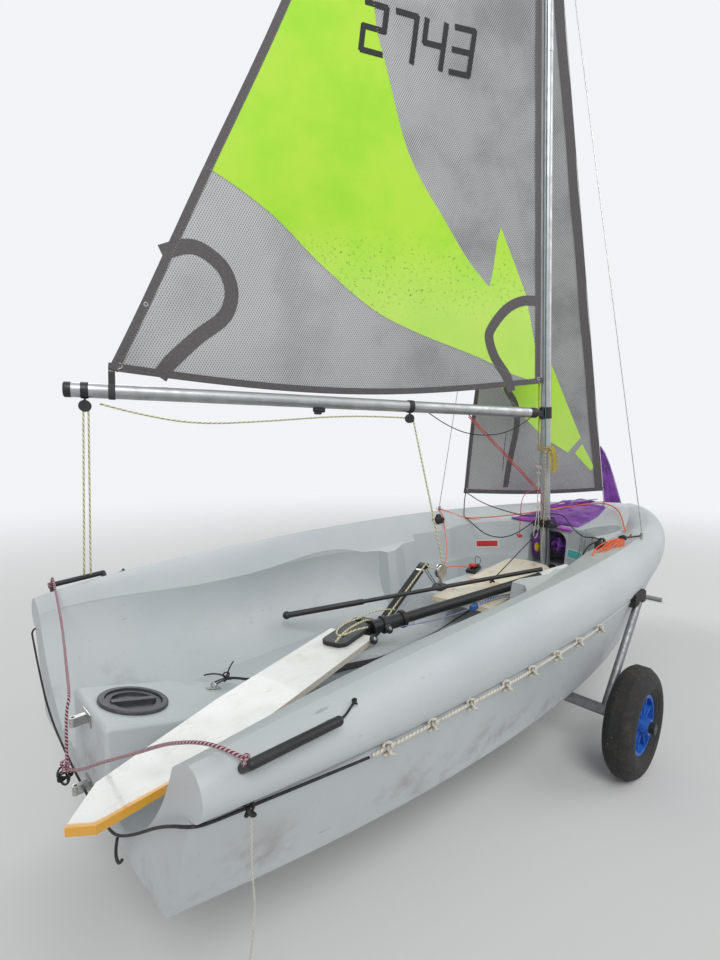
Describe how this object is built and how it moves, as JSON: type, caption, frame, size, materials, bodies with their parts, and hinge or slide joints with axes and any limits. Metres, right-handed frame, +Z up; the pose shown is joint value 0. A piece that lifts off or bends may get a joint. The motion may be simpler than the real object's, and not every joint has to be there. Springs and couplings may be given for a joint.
{
  "type": "sailing dinghy",
  "caption": "Light dinghy with a moulded plastic hull, mast, boom, mainsail and jib, standing on a two-wheeled launching trolley.",
  "frame": {"origin": "on the ground under the middle of the overall box", "axes": "+X towards the bow, +Y to port, +Z up"},
  "size_m": [4.0542, 1.7046, 5.9213],
  "materials": {
    "hull_plastic": "satin, light grey",
    "dark_plastic": "black mouldings",
    "hatch_plastic": "dark grey",
    "aluminium": "anodised spars",
    "stainless": "wire and fittings",
    "galvanised": "trolley tube",
    "sailcloth": "grey scrim laminate",
    "purple_fabric": "bag and pouch",
    "webbing": "black webbing",
    "wrap": "white wrapping",
    "foil_white": "rudder blade",
    "foil_cream": "daggerboard, stained",
    "tyre": "black rubber",
    "wheel_plastic": "blue wheel centre",
    "pad_rubber": "pads and chocks"
  },
  "bodies": {
    "boat": {"hull": "hull_plastic", "hatch_ring": "hatch_plastic", "hatch_lid": "hatch_plastic", "gudgeon_upper": "stainless", "gudgeon_lower": "stainless", "bow_ring": "dark_plastic", "gennaker_bag": "purple_fabric", "bag_pouch": "purple_fabric", "stay_fitting": "stainless", "toe_straps": "webbing", "mainsheet_base": "dark_plastic", "ratchet_block": "stainless", "mast_foot": "dark_plastic", "mast_gate": "dark_plastic", "mast_lower": "aluminium", "mast_upper": "aluminium", "mast_collar": "aluminium", "masthead": "dark_plastic", "gooseneck": "dark_plastic", "hounds": "stainless", "forestay": "stainless", "jib": "sailcloth", "rudder_blade": "foil_white", "rudder_stock": "dark_plastic", "tiller": "dark_plastic", "tiller_wrap": "wrap", "tiller_extension": "dark_plastic", "daggerboard": "foil_cream", "axle_beam": "galvanised", "keel_pad": "pad_rubber", "drawbar": "galvanised", "trolley_handle": "galvanised", "bow_post": "galvanised", "bow_chock": "pad_rubber", "shrouds": "stainless", "chainplates": "stainless", "quarter_handles": "dark_plastic", "jib_fairleads": "dark_plastic", "support_posts": "galvanised", "support_pads": "pad_rubber", "axle_caps": "dark_plastic"},
    "boom_and_mainsail": {"boom": "aluminium", "boom_head": "dark_plastic", "boom_cap": "dark_plastic", "boom_blocks": "dark_plastic", "mainsail": "sailcloth", "clew_strap": "webbing"},
    "wheel_port": {"wheel_tyre_port": "tyre", "wheel_hub_port": "wheel_plastic"},
    "wheel_starboard": {"wheel_tyre_starboard": "tyre", "wheel_hub_starboard": "wheel_plastic"},
    "pole": {"gennaker_pole": "dark_plastic"}
  },
  "joints": [
    {"name": "wheel_port_spin", "type": "hinge", "parent": "boat", "child": "wheel_port", "pos_m": [-0.28888, 0.78, 0.2], "axis": [0, 1, 0], "continuous": true},
    {"name": "wheel_starboard_spin", "type": "hinge", "parent": "boat", "child": "wheel_starboard", "pos_m": [-0.28888, -0.78, 0.2], "axis": [0, 1, 0], "continuous": true},
    {"name": "boom_swing", "type": "hinge", "parent": "boat", "child": "boom_and_mainsail", "pos_m": [0.45443, 0, 1.36922], "axis": [-0.0741, 0, 0.9973], "range_deg": [-46.1, 83.9]},
    {"name": "pole_slide", "type": "slide", "parent": "boat", "child": "pole", "axis": [1, 0, 0], "range_m": [0, 0.65]}
  ]
}
